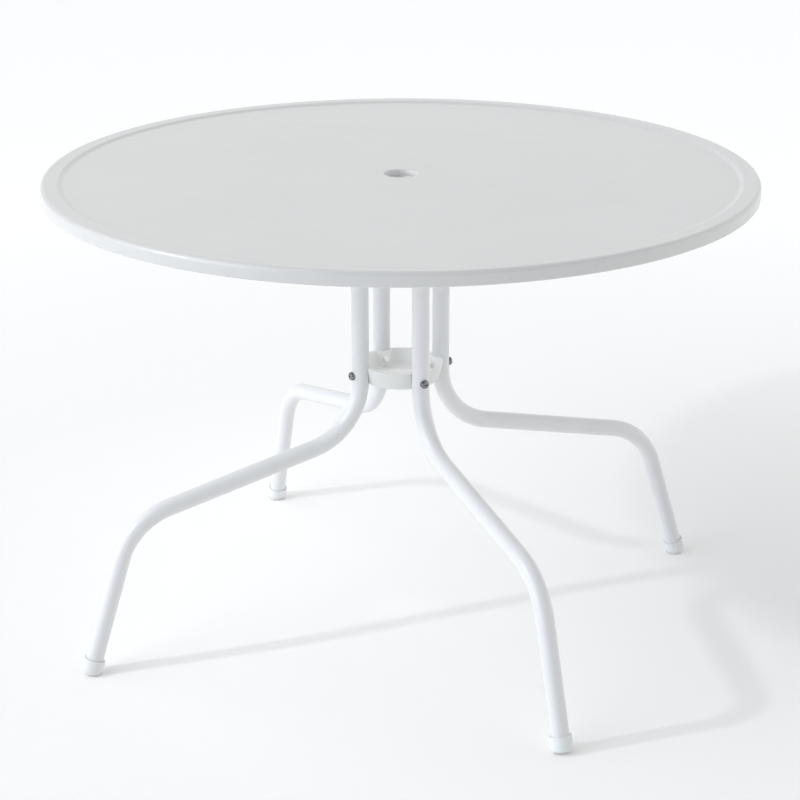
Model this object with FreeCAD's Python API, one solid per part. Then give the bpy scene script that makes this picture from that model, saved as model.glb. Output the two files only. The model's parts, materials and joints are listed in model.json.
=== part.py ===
import FreeCAD, Part
import math
import os

from FreeCAD import Vector

# Round steel patio table with an umbrella hole, standing on four bent tube legs.
# All sizes are in millimetres. The origin is on the floor, on the umbrella axis, and +Z is up.
# The legs lie along +X, +Y, -X and -Y.

# Overall
TABLE_HEIGHT = 686.0
TOP_RADIUS = 508.0

# Pressed table top
TOP_SHEET = 1.2
LIP_ROUND = 6.0
SKIRT_HEIGHT = 20.0
HEM_WIDTH = 7.0
HEM_ROUND = 2.6
BAND_WIDTH = 24.0
STEP_WIDTH = 6.5
STEP_ROUND = 5.0
FIELD_DEPTH = 2.7
POLE_HOLE_RADIUS = 22.5
POLE_COLLAR_DEPTH = 9.0
POLE_COLLAR_ROUND = 3.0

# Bent leg tubes
LEG_COUNT = 4
TUBE_RADIUS = 12.7
TUBE_WALL = 1.5
LEG_CIRCLE_RADIUS = 65.5
FOOT_CIRCLE_RADIUS = 496.0
FOOT_LEAN_DEG = 17.8
RUN_SLOPE_DEG = 12.8
KNEE_HEIGHT = 222.0
KNEE_BEND_RADIUS = 100.0
STRAIGHT_BELOW_WASHER = 0.8

# Slip-on foot caps
CAP_RADIUS = 15.7
CAP_LENGTH = 17.5
CAP_FLOOR = 4.5
CAP_ROUND = 5.0
CAP_MOUTH_ROUND = 0.8
CAP_FIT = 0.15
CAP_GROUND_CUT = 2.2

# Hub pan that ties the four tubes together below the top
HUB_RIM_HEIGHT = 401.0
HUB_DEPTH = 27.0
HUB_BOLT_LIFT = 15.0
HUB_SHEET = 1.5
HUB_ROUND = 6.0
HUB_FLUTE_DEPTH = 9.2
HUB_FLUTE_ROUND = 3.0
HUB_WALL_TAPER = 7.0
HUB_SEAT_GAP = 0.15
HUB_HOLE_INSET = 0.5
HUB_COLLAR_DEPTH = 7.0
HUB_COLLAR_ROUND = 2.5
HUB_RIB_RADIUS = 35.0
HUB_RIB_WIDTH = 5.0
HUB_RIB_HEIGHT = 1.6

# Mounting dish under the middle of the top
DISH_SHEET = 2.0
DISH_DROP = 15.0
DISH_FLOOR_RADIUS = 96.0
DISH_WALL_RUN = 7.0
DISH_RIM_WIDTH = 22.0
DISH_ROUND = 4.0
DISH_HOLE_CLEARANCE = 2.0

# Flanges welded to the tops of the tubes
FLANGE_SHEET = 3.0
FLANGE_RADIAL_WIDTH = 34.0
FLANGE_SCREW_SPREAD = 24.0
FLANGE_END_MARGIN = 9.0
FLANGE_CORNER = 8.0

# Radial stiffening channels under the top
CHANNEL_SHEET = 1.2
CHANNEL_HEIGHT = 13.0
CHANNEL_CROWN_WIDTH = 16.0
CHANNEL_SIDE_RUN = 4.0
CHANNEL_FLANGE_WIDTH = 12.0
CHANNEL_ROUND = 2.4
CHANNEL_DISH_MARGIN = 3.0
CHANNEL_STEP_MARGIN = 14.0
CHANNEL_END_SLANT = 16.0

# Fasteners, all of one thread size
THREAD_RADIUS = 3.0
THREAD_FIT = 0.1
HOLE_FIT = 0.3
HEAD_RADIUS = 6.0
HEAD_HEIGHT = 3.6
HEAD_EDGE = 1.1
RECESS_LENGTH = 6.0
RECESS_WIDTH = 1.3
RECESS_DEPTH = 1.7
WASHER_RADIUS = 6.4
WASHER_SHEET = 1.2
NUT_FLATS = 10.0
NUT_HEIGHT = 5.0
NUT_CHAMFER = 0.7
DOME_RADIUS = 4.6
DOME_HEIGHT = 4.8
DOME_ROUND = 4.0
DOME_SHELL = 1.6
BOLT_PROUD = 2.0

# Places worked out from the sizes above
TOP_UNDERSIDE_Z = TABLE_HEIGHT - FIELD_DEPTH - TOP_SHEET
STEP_OUTER_RADIUS = TOP_RADIUS - BAND_WIDTH
STEP_INNER_RADIUS = STEP_OUTER_RADIUS - STEP_WIDTH
DISH_FLOOR_Z = TOP_UNDERSIDE_Z - DISH_DROP
DISH_RIM_RADIUS = DISH_FLOOR_RADIUS + DISH_WALL_RUN + DISH_RIM_WIDTH
DISH_FLOOR_UNDERSIDE_Z = DISH_FLOOR_Z - DISH_SHEET
FLANGE_UNDERSIDE_Z = DISH_FLOOR_UNDERSIDE_Z - FLANGE_SHEET
TUBE_TOP_Z = FLANGE_UNDERSIDE_Z
HUB_FLOOR_Z = HUB_RIM_HEIGHT - HUB_DEPTH
HUB_HOLE_RADIUS = POLE_HOLE_RADIUS - HUB_HOLE_INSET
HUB_BOLT_Z = HUB_FLOOR_Z + HUB_BOLT_LIFT
HUB_RIM_RADIUS = LEG_CIRCLE_RADIUS - TUBE_RADIUS + HUB_FLUTE_DEPTH
HUB_BASE_RADIUS = HUB_RIM_RADIUS - HUB_WALL_TAPER
HUB_SEAT_RADIUS = TUBE_RADIUS + HUB_SEAT_GAP
HUB_FLUTE_CREST = LEG_CIRCLE_RADIUS - HUB_SEAT_RADIUS - HUB_SHEET
SADDLE_DROP = TUBE_RADIUS - math.sqrt(TUBE_RADIUS**2 - WASHER_RADIUS**2)
NUT_CORNER = NUT_FLATS / math.sqrt(3)
FOOT_LEAN = math.radians(FOOT_LEAN_DEG)
RUN_SLOPE = math.radians(RUN_SLOPE_DEG)
KNEE_RADIUS = FOOT_CIRCLE_RADIUS - KNEE_HEIGHT * math.tan(FOOT_LEAN)
SHOULDER_Z = KNEE_HEIGHT + (KNEE_RADIUS - LEG_CIRCLE_RADIUS) * math.tan(RUN_SLOPE)
STRAIGHT_END_Z = HUB_BOLT_Z - WASHER_RADIUS - STRAIGHT_BELOW_WASHER
SHOULDER_HALF_TURN = (math.pi / 2 - RUN_SLOPE) / 2
SHOULDER_BEND_RADIUS = (STRAIGHT_END_Z - SHOULDER_Z) / math.tan(SHOULDER_HALF_TURN)
CLEARANCE_HOLE_RADIUS = THREAD_RADIUS + HOLE_FIT
SIDES = ("right", "back", "left", "front")
CORNERS = ("back_right", "back_left", "front_left", "front_right")

UP = Vector(0, 0, 1)
OUT = Vector(1, 0, 0)
ORIGIN = Vector(0, 0, 0)


def section_point(x, z):
    """A point of the XZ plane."""
    return Vector(x, 0, z)


def heading(start, end):
    """The unit direction from one corner of a path to another."""
    dx = end[0] - start[0]
    dz = end[1] - start[1]
    length = math.hypot(dx, dz)
    return dx / length, dz / length


def corner_arc(before, corner, after):
    """The arc that rounds one corner of a path, and its two ends."""
    x, z, radius = corner
    back = heading(corner, before)
    ahead = heading(corner, after)
    half = math.acos(back[0] * ahead[0] + back[1] * ahead[1]) / 2
    reach = radius / math.tan(half)
    middle = heading((0, 0), (back[0] + ahead[0], back[1] + ahead[1]))
    to_arc = radius / math.sin(half) - radius
    start = section_point(x + back[0] * reach, z + back[1] * reach)
    end = section_point(x + ahead[0] * reach, z + ahead[1] * reach)
    crest = section_point(x + middle[0] * to_arc, z + middle[1] * to_arc)
    return Part.Arc(start, crest, end).toShape(), start, end


def rounded_edges(path, closed):
    """Straight and round edges along corners (x, z, radius) in the XZ plane."""
    edges = []
    joins = []
    count = len(path)
    for i, corner in enumerate(path):
        is_end = not closed and i in (0, count - 1)
        if is_end or corner[2] == 0:
            point = section_point(corner[0], corner[1])
            joins.append((point, None, point))
            continue
        arc, start, end = corner_arc(path[i - 1], corner, path[(i + 1) % count])
        joins.append((start, arc, end))
    for i, (start, arc, end) in enumerate(joins):
        if arc is not None:
            edges.append(arc)
        if i == count - 1 and not closed:
            break
        following = joins[(i + 1) % count][0]
        if end.distanceToPoint(following) > 1e-6:
            edges.append(Part.makeLine(end, following))
    return edges


def section_face(path):
    """A flat face inside a closed path with rounded corners."""
    return Part.Face(Part.Wire(rounded_edges(path, True)))


def beside(path, gap):
    """The path moved sideways by gap, to the right of the way it runs."""
    moved = []
    last = len(path) - 1
    for i, (x, z, radius) in enumerate(path):
        arrive = heading(path[max(i - 1, 0)], path[max(i, 1)])
        leave = heading(path[min(i, last - 1)], path[min(i + 1, last)])
        share = gap / (1 + arrive[0] * leave[0] + arrive[1] * leave[1])
        turn = arrive[0] * leave[1] - arrive[1] * leave[0]
        new_radius = radius + math.copysign(gap, turn) if radius else 0
        new_x = x + share * (arrive[1] + leave[1])
        new_z = z - share * (arrive[0] + leave[0])
        moved.append((new_x, new_z, new_radius))
    return moved


def sheet_face(path, thickness):
    """The cut face of a bent sheet: its skin follows the path, its metal lies to the right."""
    skin = rounded_edges(path, False)
    inside = rounded_edges(beside(path, thickness), False)
    first_end = Part.makeLine(inside[0].firstVertex().Point, skin[0].firstVertex().Point)
    skin_end = skin[-1].lastVertex().Point
    last_end = Part.makeLine(skin_end, inside[-1].lastVertex().Point)
    loop = Part.sortEdges(skin + inside + [first_end, last_end])[0]
    return Part.Face(Part.Wire(loop))


def turned(face):
    """A face of the XZ plane spun once round the Z axis."""
    return face.revolve(ORIGIN, UP, 360)


def swung(shape, index, offset_deg=0.0):
    """A copy of a shape swung round the umbrella axis to one leg place."""
    copy = shape.copy()
    copy.rotate(ORIGIN, UP, offset_deg + 360.0 * index / LEG_COUNT)
    return copy


def radial_rod(radius, inner, outer, z):
    """A rod along +X from one distance to another, at one height."""
    return Part.makeCylinder(radius, outer - inner, Vector(inner, 0, z), OUT)


def upright_rod(radius, x, y, low, high):
    """A vertical rod."""
    return Part.makeCylinder(radius, high - low, Vector(x, y, low), UP)


def table_top():
    """The pressed top: hem, skirt, rolled lip, raised band, step, flat field and hole collar."""
    skirt_foot = TABLE_HEIGHT - SKIRT_HEIGHT
    field = TABLE_HEIGHT - FIELD_DEPTH
    path = [
        (POLE_HOLE_RADIUS, field - POLE_COLLAR_DEPTH, 0),
        (POLE_HOLE_RADIUS, field, POLE_COLLAR_ROUND),
        (STEP_INNER_RADIUS, field, STEP_ROUND),
        (STEP_OUTER_RADIUS, TABLE_HEIGHT, STEP_ROUND),
        (TOP_RADIUS, TABLE_HEIGHT, LIP_ROUND),
        (TOP_RADIUS, skirt_foot, HEM_ROUND),
        (TOP_RADIUS - HEM_WIDTH, skirt_foot, 0),
    ]
    return turned(sheet_face(path, TOP_SHEET))


def flange_screw_places():
    """Where the two screws of the flange on the +X side stand."""
    return [(LEG_CIRCLE_RADIUS, side * FLANGE_SCREW_SPREAD) for side in (-1, 1)]


def mounting_dish():
    """The round dish that is spot welded under the top and takes the flange screws."""
    wall_top_radius = DISH_FLOOR_RADIUS + DISH_WALL_RUN
    path = [
        (POLE_HOLE_RADIUS + DISH_HOLE_CLEARANCE, DISH_FLOOR_Z, 0),
        (DISH_FLOOR_RADIUS, DISH_FLOOR_Z, DISH_ROUND),
        (wall_top_radius, TOP_UNDERSIDE_Z, DISH_ROUND),
        (DISH_RIM_RADIUS, TOP_UNDERSIDE_Z, 0),
    ]
    dish = turned(sheet_face(path, DISH_SHEET))
    for index in range(LEG_COUNT):
        for x, y in flange_screw_places():
            hole = upright_rod(CLEARANCE_HOLE_RADIUS, x, y, DISH_FLOOR_UNDERSIDE_Z, TOP_UNDERSIDE_Z)
            dish = dish.cut(swung(hole, index))
    return dish


def channel_profile():
    """The hat section of a stiffening channel, hanging from the underside of the top."""
    foot = CHANNEL_CROWN_WIDTH / 2 + CHANNEL_SIDE_RUN
    crown = CHANNEL_CROWN_WIDTH / 2
    wing = foot + CHANNEL_FLANGE_WIDTH
    path = [
        (-wing, 0, 0),
        (-foot, 0, CHANNEL_ROUND),
        (-crown, -CHANNEL_HEIGHT, CHANNEL_ROUND),
        (crown, -CHANNEL_HEIGHT, CHANNEL_ROUND),
        (foot, 0, CHANNEL_ROUND),
        (wing, 0, 0),
    ]
    return sheet_face(path, CHANNEL_SHEET)


def stiffening_channel():
    """A hat channel along +X between the dish and the step of the top, with slanted ends."""
    inner = DISH_RIM_RADIUS + CHANNEL_DISH_MARGIN
    outer = STEP_INNER_RADIUS - CHANNEL_STEP_MARGIN
    bar = channel_profile()
    bar.rotate(ORIGIN, UP, 90)
    bar.translate(Vector(inner, 0, TOP_UNDERSIDE_Z))
    bar = bar.extrude(Vector(outer - inner, 0, 0))
    half_width = CHANNEL_CROWN_WIDTH / 2 + CHANNEL_SIDE_RUN + CHANNEL_FLANGE_WIDTH
    depth = CHANNEL_HEIGHT + CHANNEL_SHEET
    slant_end = CHANNEL_END_SLANT
    side_view = section_face([
        (inner, TOP_UNDERSIDE_Z - CHANNEL_SHEET, 0),
        (inner, TOP_UNDERSIDE_Z, 0),
        (outer, TOP_UNDERSIDE_Z, 0),
        (outer, TOP_UNDERSIDE_Z - CHANNEL_SHEET, 0),
        (outer - slant_end, TOP_UNDERSIDE_Z - depth, 0),
        (inner + slant_end, TOP_UNDERSIDE_Z - depth, 0),
    ])
    side_view.translate(Vector(0, -half_width, 0))
    return bar.common(side_view.extrude(Vector(0, 2 * half_width, 0)))


def cap_end_height():
    """How high the tube end stands, so that the rounded cap is cut flat where it meets the floor."""
    ring = CAP_RADIUS - CAP_ROUND
    ring_lift = (CAP_ROUND - CAP_FLOOR) * math.cos(FOOT_LEAN)
    ring_drop = ring * math.sin(FOOT_LEAN) + CAP_ROUND
    return ring_drop - ring_lift - CAP_GROUND_CUT


def tube_end():
    """The middle of the tube's cut end inside its cap, as (distance from the axis, height)."""
    height = cap_end_height()
    return FOOT_CIRCLE_RADIUS - height * math.tan(FOOT_LEAN), height


def leg_path():
    """The middle line of a leg: down, out along the run, and down to the foot."""
    end_radius, end_height = tube_end()
    return [
        (LEG_CIRCLE_RADIUS, TUBE_TOP_Z, 0),
        (LEG_CIRCLE_RADIUS, SHOULDER_Z, SHOULDER_BEND_RADIUS),
        (KNEE_RADIUS, KNEE_HEIGHT, KNEE_BEND_RADIUS),
        (end_radius, end_height, 0),
    ]


def swept_rod(path, radius):
    """A solid round bar along a path that starts straight down."""
    spine = Part.Wire(rounded_edges(path, False))
    start = section_point(path[0][0], path[0][1])
    ring = Part.Wire(Part.makeCircle(radius, start, UP))
    return spine.makePipeShell([ring], True, False)


def leg_tube():
    """The bent, hollow leg on the +X side, drilled for its hub bolt."""
    path = leg_path()
    tube = swept_rod(path, TUBE_RADIUS).cut(swept_rod(path, TUBE_RADIUS - TUBE_WALL))
    near = LEG_CIRCLE_RADIUS - 2 * TUBE_RADIUS
    far = LEG_CIRCLE_RADIUS + 2 * TUBE_RADIUS
    return tube.cut(radial_rod(CLEARANCE_HOLE_RADIUS, near, far, HUB_BOLT_Z))


def leg_flange():
    """The plate on top of a leg tube, with its two screw holes."""
    half_x = FLANGE_RADIAL_WIDTH / 2
    half_y = FLANGE_SCREW_SPREAD + FLANGE_END_MARGIN
    outline = section_face([
        (-half_x, -half_y, FLANGE_CORNER),
        (half_x, -half_y, FLANGE_CORNER),
        (half_x, half_y, FLANGE_CORNER),
        (-half_x, half_y, FLANGE_CORNER),
    ])
    outline.rotate(ORIGIN, OUT, 90)
    outline.translate(Vector(LEG_CIRCLE_RADIUS, 0, FLANGE_UNDERSIDE_Z))
    plate = outline.extrude(Vector(0, 0, FLANGE_SHEET))
    for x, y in flange_screw_places():
        hole = upright_rod(CLEARANCE_HOLE_RADIUS, x, y, FLANGE_UNDERSIDE_Z, DISH_FLOOR_UNDERSIDE_Z)
        plate = plate.cut(hole)
    return plate


def foot_cap():
    """The slip-on cap at the foot of the +X leg, leaning with the tube and flat on the floor."""
    bore = TUBE_RADIUS + CAP_FIT
    face = section_face([
        (0, -CAP_FLOOR, 0),
        (CAP_RADIUS, -CAP_FLOOR, CAP_ROUND),
        (CAP_RADIUS, CAP_LENGTH, CAP_MOUTH_ROUND),
        (bore, CAP_LENGTH, 0),
        (bore, 0, 0),
        (0, 0, 0),
    ])
    cap = turned(face)
    cap.rotate(ORIGIN, Vector(0, 1, 0), -FOOT_LEAN_DEG)
    end_radius, end_height = tube_end()
    cap.translate(Vector(end_radius, 0, end_height))
    reach = 2 * CAP_RADIUS
    ground = Part.makeBox(2 * reach, 2 * reach, reach, Vector(end_radius - reach, -reach, -reach))
    return cap.cut(ground)


def hub_body(inset):
    """The pan's outside as one solid, set in by inset, with a rounded flute for each tube."""
    lean = HUB_WALL_TAPER / HUB_DEPTH
    above = HUB_RIM_HEIGHT + HUB_SHEET
    wall = beside([
        (HUB_RIM_RADIUS + HUB_SHEET * lean, above, 0),
        (HUB_BASE_RADIUS, HUB_FLOOR_Z, HUB_ROUND),
        (0, HUB_FLOOR_Z, 0),
    ], inset)
    body = turned(section_face(wall + [(0, wall[0][1], 0)]))
    seat = HUB_SEAT_RADIUS + inset
    for index in range(LEG_COUNT):
        body = body.cut(swung(upright_rod(seat, LEG_CIRCLE_RADIUS, 0, HUB_FLOOR_Z, above), index))
    body = body.common(upright_rod(2 * HUB_RIM_RADIUS, 0, 0, HUB_FLOOR_Z, HUB_RIM_HEIGHT))
    return body.makeFillet(HUB_FLUTE_ROUND - inset, flute_edges(body, seat))


def flute_edges(body, seat):
    """The edges where the pan's wall turns into its flutes."""
    edges = []
    for edge in body.Edges:
        low, high = edge.BoundBox.ZMin, edge.BoundBox.ZMax
        middle = edge.valueAt((edge.FirstParameter + edge.LastParameter) / 2)
        across = min(abs(middle.x), abs(middle.y))
        along = max(abs(middle.x), abs(middle.y))
        from_tube = math.hypot(along - LEG_CIRCLE_RADIUS, across)
        if high - low > HUB_DEPTH / 2 and abs(from_tube - seat) < 1e-3 and across > 1:
            edges.append(edge)
    return edges


def hub_pan():
    """The pressed cup between the tubes, with a flute for each tube and a hole for the pole."""
    pan = hub_body(0).cut(hub_body(HUB_SHEET))
    pan = pan.cut(upright_rod(HUB_RIB_RADIUS - HUB_RIB_WIDTH, 0, 0, HUB_FLOOR_Z, HUB_RIM_HEIGHT))
    pan = pan.fuse(hub_floor_ring()).removeSplitter()
    for index in range(LEG_COUNT):
        hole = radial_rod(CLEARANCE_HOLE_RADIUS, HUB_RIB_RADIUS, LEG_CIRCLE_RADIUS, HUB_BOLT_Z)
        pan = pan.cut(swung(hole, index))
    return pan


def hub_floor_ring():
    """The middle of the pan's floor: a raised bead and the collar turned down round the hole."""
    top = HUB_FLOOR_Z + HUB_SHEET
    outer = HUB_RIB_RADIUS + HUB_RIB_WIDTH
    inner = HUB_RIB_RADIUS - HUB_RIB_WIDTH
    path = [
        (HUB_HOLE_RADIUS, top - HUB_COLLAR_DEPTH, 0),
        (HUB_HOLE_RADIUS, top, HUB_COLLAR_ROUND),
        (inner, top, HUB_SHEET),
        (inner + HUB_RIB_HEIGHT, top + HUB_RIB_HEIGHT, HUB_SHEET),
        (outer - HUB_RIB_HEIGHT, top + HUB_RIB_HEIGHT, HUB_SHEET),
        (outer, top, HUB_SHEET),
        (outer + HUB_RIB_HEIGHT, top, 0),
    ]
    return turned(sheet_face(path, HUB_SHEET))


def screw(shank_length):
    """A pan head screw along +Z: the head sits below the origin, the shank stands above it."""
    head = turned(section_face([
        (0, -HEAD_HEIGHT, 0),
        (HEAD_RADIUS, -HEAD_HEIGHT, HEAD_HEIGHT - HEAD_EDGE),
        (HEAD_RADIUS, 0, 0),
        (0, 0, 0),
    ]))
    body = head.fuse(Part.makeCylinder(THREAD_RADIUS, shank_length))
    for length, width in ((RECESS_LENGTH, RECESS_WIDTH), (RECESS_WIDTH, RECESS_LENGTH)):
        corner = Vector(-length / 2, -width / 2, -HEAD_HEIGHT)
        body = body.cut(Part.makeBox(length, width, RECESS_DEPTH, corner))
    return body.removeSplitter()


def washer(depth=WASHER_SHEET):
    """A plain washer standing on the origin."""
    return Part.makeCylinder(WASHER_RADIUS, depth).cut(Part.makeCylinder(CLEARANCE_HOLE_RADIUS, depth))


def hexagon(low, high):
    """A six-sided bar with bevelled corners, from one height to another."""
    points = [Vector(NUT_CORNER * math.cos(math.pi * i / 3), NUT_CORNER * math.sin(math.pi * i / 3), low)
              for i in range(7)]
    prism = Part.Face(Part.makePolygon(points)).extrude(Vector(0, 0, high - low))
    bevel = NUT_CORNER - NUT_CHAMFER
    envelope = turned(section_face([
        (0, low, 0),
        (bevel, low, 0),
        (NUT_CORNER, low + NUT_CHAMFER, 0),
        (NUT_CORNER, high - NUT_CHAMFER, 0),
        (bevel, high, 0),
        (0, high, 0),
    ]))
    return prism.common(envelope)


def nut():
    """A hexagon nut standing on the origin."""
    return hexagon(0, NUT_HEIGHT).cut(Part.makeCylinder(THREAD_RADIUS + THREAD_FIT, NUT_HEIGHT))


def dome_nut():
    """A closed hexagon nut whose foot reaches below the origin, to be fitted to a curved wall."""
    top = NUT_HEIGHT + DOME_HEIGHT
    dome = turned(section_face([
        (0, 0, 0),
        (DOME_RADIUS, 0, 0),
        (DOME_RADIUS, top, DOME_ROUND),
        (0, top, 0),
    ]))
    bore = Part.makeCylinder(THREAD_RADIUS + THREAD_FIT, top - DOME_SHELL + SADDLE_DROP)
    bore.translate(Vector(0, 0, -SADDLE_DROP))
    return hexagon(-SADDLE_DROP, NUT_HEIGHT).fuse(dome).cut(bore)


def facing_in(shape, distance):
    """Turns a +Z fastener to point at the umbrella axis, its origin at one distance on +X."""
    turned_in = shape.copy()
    turned_in.rotate(ORIGIN, Vector(0, 1, 0), -90)
    turned_in.translate(Vector(distance, 0, HUB_BOLT_Z))
    return turned_in


def group(shape):
    """One copy of a shape at each leg place, as separate solids."""
    return Part.makeCompound([swung(shape, index) for index in range(LEG_COUNT)])


def hub_fasteners():
    """The bolts that clamp each tube to the hub pan: a saddle washer under the head, a dome nut inside."""
    tube_face = LEG_CIRCLE_RADIUS + TUBE_RADIUS
    head_seat = tube_face + WASHER_SHEET
    shank = head_seat - HUB_FLUTE_CREST + NUT_HEIGHT + BOLT_PROUD
    tube = upright_rod(TUBE_RADIUS + THREAD_FIT, LEG_CIRCLE_RADIUS, 0, HUB_FLOOR_Z, HUB_RIM_HEIGHT)
    flute_radius = HUB_SEAT_RADIUS + HUB_SHEET + THREAD_FIT
    flute = upright_rod(flute_radius, LEG_CIRCLE_RADIUS, 0, HUB_FLOOR_Z, HUB_RIM_HEIGHT)
    saddle_washer = facing_in(washer(WASHER_SHEET + SADDLE_DROP), head_seat).cut(tube)
    return {
        "hub_bolts": group(facing_in(screw(shank), head_seat)),
        "hub_washers": group(saddle_washer),
        "hub_nuts": group(facing_in(dome_nut(), HUB_FLUTE_CREST).cut(flute)),
    }


def loose_group(pieces):
    """Every solid of a compound copied to each leg place."""
    solids = [swung(solid, index) for index in range(LEG_COUNT) for solid in pieces.Solids]
    return Part.makeCompound(solids)


def standing(shape, z):
    """The two copies of an upright fastener on the +X flange."""
    copies = []
    for x, y in flange_screw_places():
        copy = shape.copy()
        copy.translate(Vector(x, y, z))
        copies.append(copy)
    return Part.makeCompound(copies)


def top_fasteners():
    """The screws that hold the leg flanges to the dish, their washers and the nuts welded above."""
    head_seat = FLANGE_UNDERSIDE_Z - WASHER_SHEET
    shank = DISH_FLOOR_Z - head_seat + NUT_HEIGHT + BOLT_PROUD
    return {
        "top_screws": loose_group(standing(screw(shank), head_seat)),
        "top_washers": loose_group(standing(washer(), head_seat)),
        "weld_nuts": loose_group(standing(nut(), DISH_FLOOR_Z)),
    }


def all_pieces():
    """Every piece of the table by name."""
    pieces = {
        "table_top": table_top(),
        "mounting_dish": mounting_dish(),
        "hub_pan": hub_pan(),
    }
    pieces.update(hub_fasteners())
    pieces.update(top_fasteners())
    tube = leg_tube()
    flange = leg_flange()
    cap = foot_cap()
    channel = stiffening_channel()
    between_legs = 180.0 / LEG_COUNT
    for index, side in enumerate(SIDES):
        pieces["leg_tube_" + side] = swung(tube, index)
        pieces["leg_flange_" + side] = swung(flange, index)
        pieces["foot_cap_" + side] = swung(cap, index)
    for index, corner in enumerate(CORNERS):
        pieces["stiffening_channel_" + corner] = swung(channel, index, between_legs)
    return pieces


def main():
    os.makedirs("parts", exist_ok=True)
    for name, shape in all_pieces().items():
        shape.exportStep("parts/" + name + ".step")
        print(name, len(shape.Solids), "solids, valid", shape.isValid(), "volume", round(shape.Volume))


main()
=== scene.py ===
import json
import math

import bpy
from mathutils import Matrix, Vector


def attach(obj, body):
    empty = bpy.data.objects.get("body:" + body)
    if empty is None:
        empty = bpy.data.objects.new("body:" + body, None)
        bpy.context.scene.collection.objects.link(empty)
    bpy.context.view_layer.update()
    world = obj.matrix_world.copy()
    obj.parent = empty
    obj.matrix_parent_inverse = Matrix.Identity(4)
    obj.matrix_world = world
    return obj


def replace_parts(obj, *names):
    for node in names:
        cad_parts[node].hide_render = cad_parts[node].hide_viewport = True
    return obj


# A white steel umbrella table on a pale studio floor. Lengths are in metres and angles in degrees. The pieces
# made here meet the CAD solids, so their measures follow from the part's.

# The camera stands where the photograph's outlines of the top, the hole and the feet put it.
PICTURE_WIDTH = 800   # pixels
FOCAL_PIXELS = 2135.5
SENSOR_WIDTH = 36.0   # millimetres
SIGHT_LIMIT = 200.0
CAMERA_AZIMUTH = -25.756
CAMERA_ELEVATION = 13.748
CAMERA_DISTANCE = 3.0594
CAMERA_AIM_HEIGHT = 0.686
CAMERA_PITCH = 19.861
CAMERA_YAW = 0.027
CAMERA_ROLL = -0.091

# The sky is a sum of soft lobes: azimuth, elevation, tightness and colour.
SKY_LOBES = (
    (64.0, 0.0, 2.0, (0.53, 0.53, 0.53)),
    (64.0, 40.0, 2.0, (0.40, 0.40, 0.40)),
    (64.0, 10.0, 8.0, (0.11, 0.11, 0.11)),
    (334.0, 0.0, 2.0, (1.58, 1.58, 1.58)),
    (0.0, 90.0, 2.0, (0.115, 0.12, 0.12)),
    (185.0, 8.0, 8.0, (2.58, 2.86, 3.20)),
)

# A very wide key from the left, and a small lamp there that draws the thin shadows of the legs on the floor.
KEY_AZIMUTH = 160.0
KEY_ELEVATION = 40.0
KEY_STRENGTH = 1.31
KEY_SPREAD = 80.0
LAMP_SPOT = (-2.068, 0.258, 1.739)
LAMP_AIM = (0.0, 0.0, 0.45)
LAMP_SIZE = 0.10
LAMP_POWER = 4.6

# A weak light that shines down the pole way on the inside of the hub pan.
FILL_SPOT = (0.0, 0.0, 0.63)
FILL_SIZE = 0.08
FILL_POWER = 0.0058
FILL_SPREAD = 36.0

# The floor, with a little light of its own that grows with the distance from the axis, as on a lit sweep.
FLOOR_HALF = 30.0
FLOOR_WHITE = (0.90, 0.90, 0.90)
FLOOR_ROUGHNESS = 0.9
FLOOR_TINT = (1.0, 0.985, 0.97)
FLOOR_GLOW_REACH = (1.0, 2.5)
FLOOR_GLOW = (0.084, 0.206)

# Noises are given as scale, detail and roughness, reliefs as depth and strength.
# Powder coat: clouds between two close whites, wandering gloss and orange peel. The denoiser leaves specks where
# a roughness crosses 0.274, so the range of each paint stays on one side of that.
TOP_WHITES = ((0.657, 0.657, 0.654), (0.641, 0.641, 0.638))
TOP_ROUGHNESS = 0.225
FRAME_WHITES = ((0.780, 0.785, 0.790), (0.763, 0.768, 0.773))
FRAME_ROUGHNESS = 0.32
HUB_WHITES = ((0.775, 0.778, 0.762), (0.758, 0.761, 0.745))
HUB_ROUGHNESS = 0.40
PAINT_CLOUDS = (5.0, 3.0, 0.55)
PAINT_CLOUD_RANGE = (0.32, 0.68)
PAINT_GLOSS = (16.0, 4.0, 0.6)
PAINT_GLOSS_RANGE = (0.3, 0.7)
PAINT_GLOSS_DROP = 0.03
PAINT_GLOSS_RISE = 0.04
PAINT_PEEL = (320.0, 2.0, 0.45)
PAINT_PEEL_RELIEF = (0.0003, 0.08)
PAINT_IOR = 1.5
COAT_WEIGHT = 0.12
COAT_ROUGHNESS = 0.18

# The hub pan's inside is painted lighter, as painted fill light: its wall, which faces the axis from about this
# radius, and its floor.
HUB_INSIDE_PAINTED_LIGHT = (0.97, 0.97, 0.96)
CUP_RADIUS = 0.05
CUP_WALL_RANGE = (0.0, 0.3)
CUP_FLOOR_RANGE = (0.3, 0.7)

# Dark zinc on the fasteners, with dull patches and fine marks.
STEEL_TONES = ((0.34, 0.34, 0.35), (0.13, 0.13, 0.135))
STEEL_PATCHES = (260.0, 4.0, 0.6)
STEEL_PATCH_RANGE = (0.35, 0.7)
STEEL_ROUGHNESS = (0.13, 0.25)
STEEL_MARKS = (3000.0, 2.0, 0.5)
STEEL_RELIEF = (0.0001, 0.3)

# White plastic of the foot caps. It is darker towards the floor, less and less up to a height, a part of it evenly
# and a part in specks.
CAP_WHITES = ((0.81, 0.82, 0.82), (0.78, 0.79, 0.79))
CAP_CLOUDS = (40.0, 2.0, 0.5)
CAP_SPECKS = (300.0, 4.0, 0.65)
CAP_SPECK_RANGE = (0.42, 0.62)
CAP_ROUGHNESS = (0.46, 0.56)
CAP_GRAIN = (1400.0, 2.0, 0.5)
CAP_RELIEF = (0.0002, 0.25)
CAP_IOR = 1.49
DARKER_NEAR_FLOOR_COLOUR = (0.30, 0.29, 0.27)
DARKER_NEAR_FLOOR_HEIGHT = 0.007
DARKER_NEAR_FLOOR_EVEN = 0.15
DARKER_NEAR_FLOOR_SPECKS = 0.5

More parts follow.
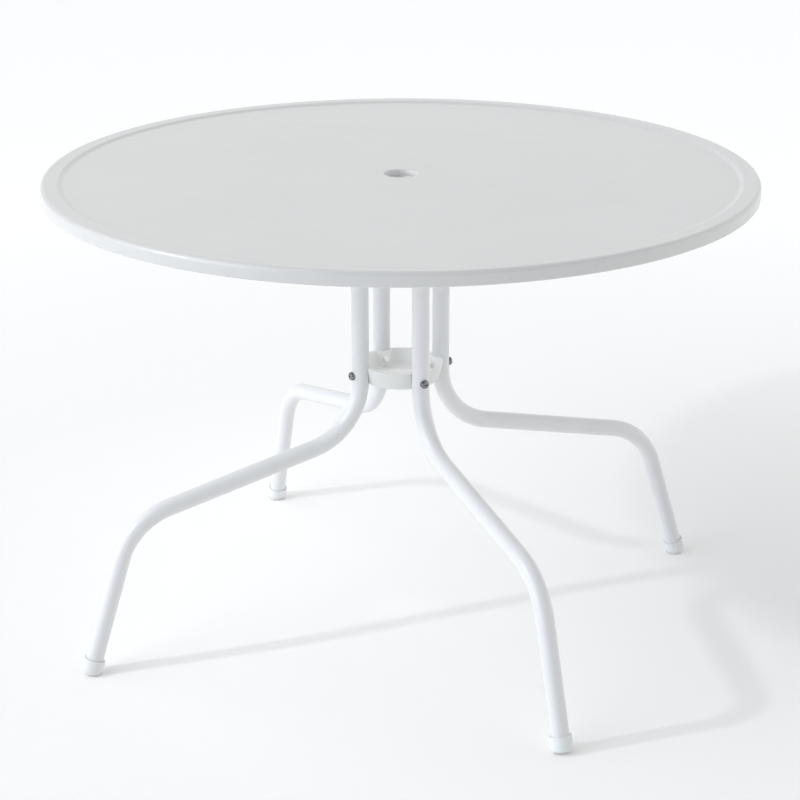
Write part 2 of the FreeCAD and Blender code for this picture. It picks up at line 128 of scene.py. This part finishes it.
# The path of the top's pressed sheet, as in the CAD part: radius, height and rounding of each corner.
TOP_PATH = (
    (0.0225, 0.6743, 0.0),
    (0.0225, 0.6833, 0.003),
    (0.4775, 0.6833, 0.005),
    (0.4840, 0.6860, 0.005),
    (0.5080, 0.6860, 0.006),
    (0.5080, 0.6660, 0.0026),
    (0.5010, 0.6660, 0.0),
)
TOP_SHEET = 0.0012
TOP_TURNS = 384
CORNER_STEP = 9.0
CORNER_HOLD = 0.0002

# The sleeve between the hole's turned-down edge and the mounting dish.
SLEEVE_INNER = 0.0227
SLEEVE_OUTER = 0.0236
SLEEVE_TOP = 0.6745
SLEEVE_FOOT = 0.6672
SLEEVE_RINGS = 3
SLEEVE_TURNS = 96

# The weld beads in the corners between the tubes and the flanges on them.
LEG_CIRCLE = 0.0655
TUBE_RADIUS = 0.0127
BEAD_TOP = 0.6621
BEAD_LEG = 0.0019
BEAD_RIPPLE = 0.0005
BEAD_PUDDLES = 30
BEAD_SINK = 0.0001
BEAD_STEPS = 5
BEAD_TURNS = 180

# The spot welds: pairs along the wings of each stiffening channel, and a circle round the rim of the dish.
WING_SPOTS = 8
WING_FIRST_SPOT = 0.140
WING_SPOT_PITCH = 0.044
WING_MIDDLE = 0.0195
WING_UNDERSIDE = 0.6809
RIM_SPOTS = 16
RIM_MIDDLE = 0.116
RIM_UNDERSIDE = 0.6801
SPOT_RADIUS = 0.0024
SPOT_EDGE = 0.0004
SPOT_STEPS = 8
SPOT_TURNS = 24


def join(tree, socket, value):
    """Sets a socket to a value, or links another node's output to it."""
    if isinstance(value, bpy.types.NodeSocket):
        tree.links.new(value, socket)
    else:
        socket.default_value = value


def feed(tree, node, name, value):
    """Joins a value or an output to one named input of a node."""
    join(tree, node.inputs[name], value)


def add(tree, kind, settings=None, **inputs):
    """A new node with its settings and named inputs."""
    node = tree.nodes.new(kind)
    for name, value in (settings or {}).items():
        setattr(node, name, value)
    for name, value in inputs.items():
        feed(tree, node, name.replace("_", " "), value)
    return node


def combine(tree, kind, operation, *values):
    """A node of numbers or vectors that does an operation on one to three values."""
    node = add(tree, kind, {"operation": operation})
    for socket, value in zip(node.inputs, values):
        join(tree, socket, value)
    return node


def calculate(tree, operation, *values):
    """The result of an operation on numbers."""
    return combine(tree, "ShaderNodeMath", operation, *values).outputs[0]


def vectors(tree, operation, *values):
    """A node that does an operation on vectors or colours."""
    return combine(tree, "ShaderNodeVectorMath", operation, *values)


def rgba(colour):
    """A colour as a node colour."""
    return (*colour, 1.0)


def material_with_shader(name):
    """A new material, its node tree and its main shader."""
    material = bpy.data.materials.new(name)
    material.use_nodes = True
    tree = material.node_tree
    return material, tree, tree.nodes["Principled BSDF"]


def places(tree):
    """Coordinates of the table's own frame, in metres."""
    return add(tree, "ShaderNodeTexCoord").outputs["Object"]


def noise(tree, where, scale, detail, roughness):
    """Soft noise from 0 to 1."""
    node = add(tree, "ShaderNodeTexNoise", Vector=where, Scale=scale, Detail=detail, Roughness=roughness)
    return node.outputs["Fac"]


def stretch(tree, value, low, high, to_low=0.0, to_high=1.0):
    """A value moved from one range to another and kept inside it."""
    node = add(tree, "ShaderNodeMapRange", {"clamp": True}, Value=value)
    for index, number in enumerate((low, high, to_low, to_high), start=1):
        node.inputs[index].default_value = number
    return node.outputs["Result"]


def blend(tree, share, first, second):
    """A colour between two others."""
    node = add(tree, "ShaderNodeMix", {"data_type": "RGBA"})
    for index, value in ((0, share), (6, first), (7, second)):
        join(tree, node.inputs[index], value)
    return node.outputs[2]


def bump(tree, height, distance, strength):
    """A fine relief."""
    return add(tree, "ShaderNodeBump", Height=height, Distance=distance, Strength=strength).outputs["Normal"]


def powder_coat(name, whites, roughness, inside_painted_light=None):
    """Sprayed and baked powder paint: soft orange peel, faint clouds of tone and gloss, and if given painted light
    in the cup.
    """
    material, tree, shader = material_with_shader(name)
    where = places(tree)
    clouds = stretch(tree, noise(tree, where, *PAINT_CLOUDS), *PAINT_CLOUD_RANGE)
    tone = blend(tree, clouds, *map(rgba, whites))
    # A lighter colour painted on the inside of the cup stands in for light there: painted light.
    if inside_painted_light:
        tone = blend(tree, painted_light_cup_mask(tree, where), tone, rgba(inside_painted_light))
    feed(tree, shader, "Base Color", tone)
    gloss = noise(tree, where, *PAINT_GLOSS)
    dull, glossy = roughness + PAINT_GLOSS_RISE, roughness - PAINT_GLOSS_DROP
    feed(tree, shader, "Roughness", stretch(tree, gloss, *PAINT_GLOSS_RANGE, glossy, dull))
    feed(tree, shader, "Normal", bump(tree, noise(tree, where, *PAINT_PEEL), *PAINT_PEEL_RELIEF))
    shader.inputs["IOR"].default_value = PAINT_IOR
    shader.inputs["Coat Weight"].default_value = COAT_WEIGHT
    shader.inputs["Coat Roughness"].default_value = COAT_ROUGHNESS
    return material


def painted_light_cup_mask(tree, where):
    """Where the painted light goes: 1 on the faces inside a cup around the axis and on its floor, 0 on its
    outside.
    """
    facing = add(tree, "ShaderNodeTexCoord").outputs["Normal"]
    to_axis = vectors(tree, "MULTIPLY", where, (-1.0 / CUP_RADIUS, -1.0 / CUP_RADIUS, 0.0)).outputs["Vector"]
    inward = vectors(tree, "DOT_PRODUCT", facing, to_axis).outputs["Value"]
    up = add(tree, "ShaderNodeSeparateXYZ", Vector=facing).outputs["Z"]
    return calculate(tree, "MAXIMUM", stretch(tree, inward, *CUP_WALL_RANGE), stretch(tree, up, *CUP_FLOOR_RANGE))


def plated_steel(name):
    """Dark zinc on fastener steel, with dull patches and fine marks."""
    material, tree, shader = material_with_shader(name)
    where = places(tree)
    patches = stretch(tree, noise(tree, where, *STEEL_PATCHES), *STEEL_PATCH_RANGE)
    feed(tree, shader, "Base Color", blend(tree, patches, *map(rgba, STEEL_TONES)))
    feed(tree, shader, "Roughness", stretch(tree, patches, 0.0, 1.0, *STEEL_ROUGHNESS))
    feed(tree, shader, "Normal", bump(tree, noise(tree, where, *STEEL_MARKS), *STEEL_RELIEF))
    shader.inputs["Metallic"].default_value = 1.0
    return material


def cap_plastic(name):
    """Moulded white plastic with a fine grain, a little darker near the floor."""
    material, tree, shader = material_with_shader(name)
    where = places(tree)
    height = add(tree, "ShaderNodeSeparateXYZ", Vector=where).outputs["Z"]
    # Darker towards the floor, fading out with height, partly evenly and partly in specks.
    low = stretch(tree, height, 0.0, DARKER_NEAR_FLOOR_HEIGHT, 1.0, 0.0)
    specks = stretch(tree, noise(tree, where, *CAP_SPECKS), *CAP_SPECK_RANGE)
    darker_near_floor = calculate(tree, "MULTIPLY", low, calculate(tree, "MULTIPLY_ADD", specks, DARKER_NEAR_FLOOR_SPECKS, DARKER_NEAR_FLOOR_EVEN))
    clean = blend(tree, noise(tree, where, *CAP_CLOUDS), *map(rgba, CAP_WHITES))
    feed(tree, shader, "Base Color", blend(tree, darker_near_floor, clean, rgba(DARKER_NEAR_FLOOR_COLOUR)))
    feed(tree, shader, "Roughness", stretch(tree, specks, 0.0, 1.0, *CAP_ROUGHNESS))
    feed(tree, shader, "Normal", bump(tree, noise(tree, where, *CAP_GRAIN), *CAP_RELIEF))
    shader.inputs["IOR"].default_value = CAP_IOR
    return material


def dress_nodes():
    """Gives every CAD node the finish of its slot in the record."""
    finishes = {
        "top_paint": powder_coat("top_paint", TOP_WHITES, TOP_ROUGHNESS),
        "frame_paint": powder_coat("frame_paint", FRAME_WHITES, FRAME_ROUGHNESS),
        # The hub's paint is lighter inside the pan: painted light, not a different paint.
        "hub_paint": powder_coat("hub_paint", HUB_WHITES, HUB_ROUGHNESS, HUB_INSIDE_PAINTED_LIGHT),
        "plated_steel": plated_steel("plated_steel"),
        "cap_plastic": cap_plastic("cap_plastic"),
    }
    for part in frame["record"]["subparts"]:
        piece = frame["nodes"][part["node"]]
        piece.data.materials.clear()
        piece.data.materials.append(finishes[part["material_slot"]])


def mesh_piece(name, points, faces, material):
    """A new object in the scene that is one mesh."""
    mesh = bpy.data.meshes.new(name)
    mesh.from_pydata(points, [], faces)
    mesh.materials.append(material)
    piece = bpy.data.objects.new(name, mesh)
    bpy.context.collection.objects.link(piece)
    return piece


def painted_piece(name, points, faces, like):
    """A smooth piece of the table that only the scene has, painted as the CAD node it belongs to."""
    piece = mesh_piece(name, points, faces, frame["nodes"][like].data.materials[0])
    piece.data.polygons.foreach_set("use_smooth", [True] * len(faces))
    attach(piece, "root")
    return piece


def closed_ring(points, faces, middle, count, outline):
    """Adds a ring around the vertical through middle; outline gives its section as (radius, height) at a turn."""
    start = len(points)
    for index in range(count):
        turn = math.tau * index / count
        section = outline(turn)
        for radius, height in section:
            points.append((middle[0] + radius * math.cos(turn), middle[1] + radius * math.sin(turn), height))
    size = len(section)
    for index in range(count):
        here, there = start + index * size, start + (index + 1) % count * size
        for first in range(size):
            second = (first + 1) % size
            faces.append((here + first, here + second, there + second, there + first))


def heading(start, end):
    """The direction from one point of a path to the next."""
    across, up = end[0] - start[0], end[1] - start[1]
    length = math.hypot(across, up)
    return across / length, up / length


def beside(path, gap):
    """The path moved sideways by gap, to the right of the way it runs, with roundings that stay concentric."""
    moved = []
    last = len(path) - 1
    for index, (across, up, rounding) in enumerate(path):
        arrive = heading(path[max(index - 1, 0)], path[max(index, 1)])
        leave = heading(path[min(index, last - 1)], path[min(index + 1, last)])
        share = gap / (1.0 + arrive[0] * leave[0] + arrive[1] * leave[1])
        turn = arrive[0] * leave[1] - arrive[1] * leave[0]
        new_rounding = rounding + math.copysign(gap, turn) if rounding else 0.0
        moved.append((across + share * (arrive[1] + leave[1]), up - share * (arrive[0] + leave[0]), new_rounding))
    return moved


def rounded(path):
    """The points of a path with rounded corners. One more point close before and after each rounding keeps the
    smooth shading of the straight runs flat."""
    line = [path[0][:2]]
    for before, corner, after in zip(path, path[1:], path[2:]):
        arrive, leave = heading(before, corner), heading(corner, after)
        turn = math.atan2(arrive[0] * leave[1] - arrive[1] * leave[0], arrive[0] * leave[0] + arrive[1] * leave[1])
        setback = corner[2] * math.tan(abs(turn) / 2.0)
        start = (corner[0] - setback * arrive[0], corner[1] - setback * arrive[1])
        side = math.copysign(corner[2], turn)
        centre = (start[0] - side * arrive[1], start[1] + side * arrive[0])
        spoke = (start[0] - centre[0], start[1] - centre[1])
        line.append((start[0] - CORNER_HOLD * arrive[0], start[1] - CORNER_HOLD * arrive[1]))
        steps = max(2, math.ceil(abs(turn) / math.radians(CORNER_STEP)))
        for step in range(steps + 1):
            lean = turn * step / steps
            line.append((
                centre[0] + spoke[0] * math.cos(lean) - spoke[1] * math.sin(lean),
                centre[1] + spoke[0] * math.sin(lean) + spoke[1] * math.cos(lean),
            ))
        end = line[-1]
        line.append((end[0] + CORNER_HOLD * leave[0], end[1] + CORNER_HOLD * leave[1]))
    return line + [path[-1][:2]]


def press_the_top():
    """The top's sheet on the same path as the solid's, with finer facets, so that the lip shades evenly."""
    skin = rounded(TOP_PATH)
    inside = rounded(beside(TOP_PATH, TOP_SHEET))
    section = skin + inside[::-1]
    points, faces = [], []
    closed_ring(points, faces, (0.0, 0.0), TOP_TURNS, lambda turn: section)
    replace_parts(painted_piece("pressed_top", points, faces, "table_top"), "table_top")


def line_the_hole():
    """The umbrella hole's turned-down edge, run on as a thin sleeve to the dish below it."""
    levels = [SLEEVE_TOP + (SLEEVE_FOOT - SLEEVE_TOP) * step / SLEEVE_RINGS for step in range(SLEEVE_RINGS + 1)]
    inside = [(SLEEVE_INNER, level) for level in levels]
    outside = [(SLEEVE_OUTER, level) for level in reversed(levels)]
    points, faces = [], []
    closed_ring(points, faces, (0.0, 0.0), SLEEVE_TURNS, lambda turn: inside + outside)
    painted_piece("hole_sleeve", points, faces, "table_top")


def bead_outline(turn):
    """The section of a weld bead in the corner of tube and flange, swelling with each puddle of the weld."""
    leg = BEAD_LEG + BEAD_RIPPLE * abs(math.sin(turn * BEAD_PUDDLES / 2.0))
    foot = BEAD_TOP + BEAD_SINK
    section = [(TUBE_RADIUS - BEAD_SINK, foot), (TUBE_RADIUS - BEAD_SINK, BEAD_TOP - leg)]
    for step in range(BEAD_STEPS + 1):
        lean = math.pi / 2.0 * step / BEAD_STEPS
        section.append((TUBE_RADIUS + leg * math.sin(lean), BEAD_TOP - leg * math.cos(lean)))
    return section + [(TUBE_RADIUS + leg, foot)]


def weld_the_tubes():
    """A bead round the top end of each tube, under its flange."""
    points, faces = [], []
    for quarter in range(4):
        turn = math.pi / 2.0 * quarter
        middle = (LEG_CIRCLE * math.cos(turn), LEG_CIRCLE * math.sin(turn))
        closed_ring(points, faces, middle, BEAD_TURNS, bead_outline)
    painted_piece("weld_beads", points, faces, "mounting_dish")


def spot_outline(level):
    """The round section of the raised edge that a spot weld leaves on a sheet at this level."""
    section = []
    for step in range(SPOT_STEPS):
        lean = math.tau * step / SPOT_STEPS
        section.append((SPOT_RADIUS + SPOT_EDGE * math.cos(lean), level + SPOT_EDGE * math.sin(lean)))
    return section


def wing_spots():
    """The middle and level of each spot weld on the channels, which lie halfway between the legs."""
    for corner in range(4):
        turn = math.pi / 2.0 * corner + math.pi / 4.0
        out, across = (math.cos(turn), math.sin(turn)), (-math.sin(turn), math.cos(turn))
        for step in range(WING_SPOTS):
            reach = WING_FIRST_SPOT + WING_SPOT_PITCH * step
            for side in (-WING_MIDDLE, WING_MIDDLE):
                yield (reach * out[0] + side * across[0], reach * out[1] + side * across[1]), WING_UNDERSIDE


def rim_spots():
    """The middle and level of each spot weld on the rim of the dish."""
    for step in range(RIM_SPOTS):
        turn = math.tau * (step + 0.5) / RIM_SPOTS
        yield (RIM_MIDDLE * math.cos(turn), RIM_MIDDLE * math.sin(turn)), RIM_UNDERSIDE


def weld_the_sheets():
    """Spot weld marks along both wings of each channel and round the rim of the dish."""
    points, faces = [], []
    for middle, level in (*wing_spots(), *rim_spots()):
        section = spot_outline(level)
        closed_ring(points, faces, middle, SPOT_TURNS, lambda turn: section)
    painted_piece("spot_welds", points, faces, "mounting_dish")


def lay_floor():
    """A pale studio floor."""
    corners = [(x * FLOOR_HALF, y * FLOOR_HALF, 0.0) for x, y in ((-1, -1), (1, -1), (1, 1), (-1, 1))]
    floor = mesh_piece("studio_floor", corners, [(0, 1, 2, 3)], floor_finish())


def floor_finish():
    """Matt white with its own glow, and open when seen from below, so that the underside can be looked at."""
    material, tree, shader = material_with_shader("studio_floor")
    shader.inputs["Base Color"].default_value = rgba(FLOOR_WHITE)
    shader.inputs["Roughness"].default_value = FLOOR_ROUGHNESS
    shader.inputs["Specular IOR Level"].default_value = 0.0
    shader.inputs["Emission Color"].default_value = rgba(FLOOR_TINT)
    reach = vectors(tree, "LENGTH", places(tree)).outputs["Value"]
    feed(tree, shader, "Emission Strength", stretch(tree, reach, *FLOOR_GLOW_REACH, *FLOOR_GLOW))
    below = add(tree, "ShaderNodeNewGeometry").outputs["Backfacing"]
    open_side = add(tree, "ShaderNodeBsdfTransparent")
    mixed = add(tree, "ShaderNodeMixShader")
    for socket, output in zip(mixed.inputs, (below, shader.outputs[0], open_side.outputs[0])):
        tree.links.new(output, socket)
    tree.links.new(mixed.outputs[0], tree.nodes["Material Output"].inputs["Surface"])
    return material


def direction(azimuth, elevation):
    """The unit vector towards a place in the sky."""
    flat = math.cos(math.radians(elevation))
    turn = math.radians(azimuth)
    return Vector((flat * math.cos(turn), flat * math.sin(turn), math.sin(math.radians(elevation))))


def hang_light(name, kind, towards):
    """A new light that shines against the given direction."""
    light = bpy.data.objects.new(name, bpy.data.lights.new(name, kind))
    bpy.context.collection.objects.link(light)
    light.rotation_mode = "QUATERNION"
    light.rotation_quaternion = towards.to_track_quat("Z", "Y")
    return light


def hang_disc(name, spot, towards, size, power):
    """A new round light at a spot."""
    light = hang_light(name, "AREA", towards)
    light.location = spot
    light.data.shape = "DISK"
    light.data.size = size
    light.data.energy = power
    return light


def light_studio():
    """The wide key, the small lamp and the weak light in the pole way, in a pale sky."""
    key = hang_light("key", "SUN", direction(KEY_AZIMUTH, KEY_ELEVATION)).data
    key.energy = KEY_STRENGTH
    key.angle = math.radians(KEY_SPREAD)
    lamp = hang_disc("lamp", LAMP_SPOT, Vector(LAMP_SPOT) - Vector(LAMP_AIM), LAMP_SIZE, LAMP_POWER).data
    lamp.use_nodes = True
    fading = add(lamp.node_tree, "ShaderNodeLightFalloff", Strength=1.0)
    feed(lamp.node_tree, lamp.node_tree.nodes["Emission"], "Strength", fading.outputs["Linear"])
    fill = hang_disc("hub_fill", FILL_SPOT, Vector((0.0, 0.0, 1.0)), FILL_SIZE, FILL_POWER)
    fill.visible_camera = False
    fill.data.spread = math.radians(FILL_SPREAD)
    light_sky()


def light_sky():
    """The sum of the lobes, each brightest in its own direction."""
    world = bpy.data.worlds.new("studio")
    bpy.context.scene.world = world
    world.use_nodes = True
    tree = world.node_tree
    way = add(tree, "ShaderNodeTexCoord").outputs["Generated"]
    total = None
    for azimuth, elevation, tightness, colour in SKY_LOBES:
        near = vectors(tree, "DOT_PRODUCT", way, direction(azimuth, elevation)).outputs["Value"]
        lobe = calculate(tree, "POWER", calculate(tree, "MAXIMUM", near, 0.0), tightness)
        term = vectors(tree, "SCALE", colour)
        feed(tree, term, "Scale", lobe)
        light = term.outputs["Vector"]
        total = light if total is None else vectors(tree, "ADD", total, light).outputs["Vector"]
    feed(tree, tree.nodes["Background"], "Color", total)


def place_camera():
    """The photograph's camera."""
    data = bpy.data.cameras.new("camera")
    data.sensor_width = SENSOR_WIDTH
    data.lens = FOCAL_PIXELS * SENSOR_WIDTH / PICTURE_WIDTH
    data.clip_end = SIGHT_LIMIT
    camera = bpy.data.objects.new("camera", data)
    bpy.context.collection.objects.link(camera)
    elevation = math.radians(CAMERA_ELEVATION)
    back = Vector((0.0, -math.cos(elevation), math.sin(elevation))) * CAMERA_DISTANCE
    round_table = Matrix.Rotation(math.radians(CAMERA_AZIMUTH), 4, "Z")
    turn = Matrix.Rotation(math.radians(CAMERA_YAW), 4, "Z")
    tilt = Matrix.Rotation(math.radians(90.0 - CAMERA_PITCH), 4, "X")
    roll = Matrix.Rotation(math.radians(CAMERA_ROLL), 4, "Z")
    spot = Matrix.Translation(round_table @ back + Vector((0.0, 0.0, CAMERA_AIM_HEIGHT)))
    camera.matrix_world = spot @ round_table @ turn @ tilt @ roll
    bpy.context.scene.camera = camera


with open("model.json") as file:
    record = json.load(file)
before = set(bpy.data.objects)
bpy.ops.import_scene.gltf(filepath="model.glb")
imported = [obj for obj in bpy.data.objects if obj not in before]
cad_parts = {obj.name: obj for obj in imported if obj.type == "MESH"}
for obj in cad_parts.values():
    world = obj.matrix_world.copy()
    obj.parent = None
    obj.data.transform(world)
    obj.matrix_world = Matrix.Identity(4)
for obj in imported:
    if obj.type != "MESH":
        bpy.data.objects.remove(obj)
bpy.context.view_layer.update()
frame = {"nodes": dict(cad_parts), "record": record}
bpy.context.scene.view_settings.view_transform = "Standard"
place_camera()
light_studio()
lay_floor()
dress_nodes()
press_the_top()
line_the_hole()
weld_the_tubes()
weld_the_sheets()
